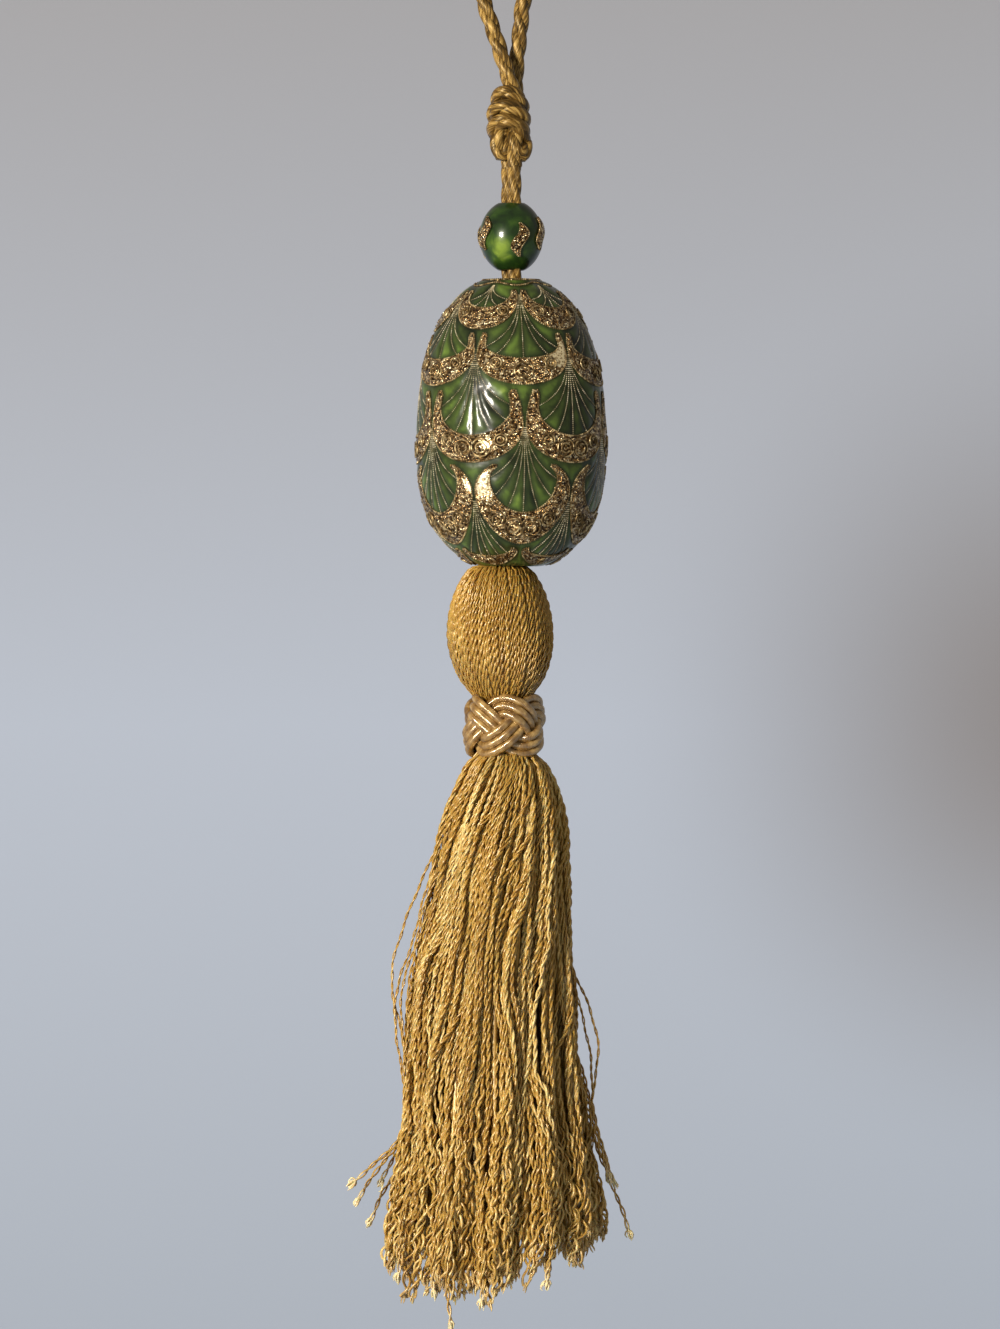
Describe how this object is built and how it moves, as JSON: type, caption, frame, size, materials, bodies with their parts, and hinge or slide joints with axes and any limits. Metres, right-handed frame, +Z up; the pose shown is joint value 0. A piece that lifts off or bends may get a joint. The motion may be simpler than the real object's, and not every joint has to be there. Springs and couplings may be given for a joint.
{
  "type": "drawer tassel",
  "caption": "Gold yarn key tassel with a Turk's head band, under a green enamelled egg bead with gilt scales and a round green bead, on a knotted cord loop.",
  "frame": {"origin": "inner top of the hanging loop, where the key or knob holds it", "axes": "+Z up along the hanging tassel, -Y the front, +X to the right seen from the front"},
  "size_m": [0.0618, 0.0483, 0.3334],
  "materials": {
    "twisted_cord": "satin",
    "gold_yarn": "satin",
    "satin_cord": "satin",
    "green_enamel": "gloss",
    "gilt_filigree": "satin"
  },
  "bodies": {
    "root": {"hanging_loop": "twisted_cord", "cord_knot": "twisted_cord", "cord_tail_left": "twisted_cord", "cord_tail_right": "twisted_cord", "round_bead": "green_enamel", "egg_bead": "green_enamel", "bead_leaf_1": "gilt_filigree", "bead_leaf_2": "gilt_filigree", "bead_leaf_3": "gilt_filigree", "bead_leaf_4": "gilt_filigree", "bead_leaf_5": "gilt_filigree", "bead_leaf_6": "gilt_filigree", "egg_top_ring": "gilt_filigree", "crescent_1_1": "gilt_filigree", "crescent_1_2": "gilt_filigree", "crescent_1_3": "gilt_filigree", "crescent_1_4": "gilt_filigree", "crescent_1_5": "gilt_filigree", "crescent_1_6": "gilt_filigree", "crescent_2_1": "gilt_filigree", "crescent_2_2": "gilt_filigree", "crescent_2_3": "gilt_filigree", "crescent_2_4": "gilt_filigree", "crescent_2_5": "gilt_filigree", "crescent_2_6": "gilt_filigree", "crescent_3_1": "gilt_filigree", "crescent_3_2": "gilt_filigree", "crescent_3_3": "gilt_filigree", "crescent_3_4": "gilt_filigree", "crescent_3_5": "gilt_filigree", "crescent_3_6": "gilt_filigree", "crescent_4_1": "gilt_filigree", "crescent_4_2": "gilt_filigree", "crescent_4_3": "gilt_filigree", "crescent_4_4": "gilt_filigree", "crescent_4_5": "gilt_filigree", "crescent_4_6": "gilt_filigree", "crescent_5_1": "gilt_filigree", "crescent_5_2": "gilt_filigree", "crescent_5_3": "gilt_filigree", "crescent_5_4": "gilt_filigree", "crescent_5_5": "gilt_filigree", "crescent_5_6": "gilt_filigree", "head": "gold_yarn", "skirt": "gold_yarn", "stray_thread_1": "gold_yarn", "stray_thread_2": "gold_yarn", "stray_thread_3": "gold_yarn", "stray_thread_4": "gold_yarn", "stray_thread_5": "gold_yarn", "stray_thread_6": "gold_yarn", "knot_band": "satin_cord"}
  },
  "joints": []
}
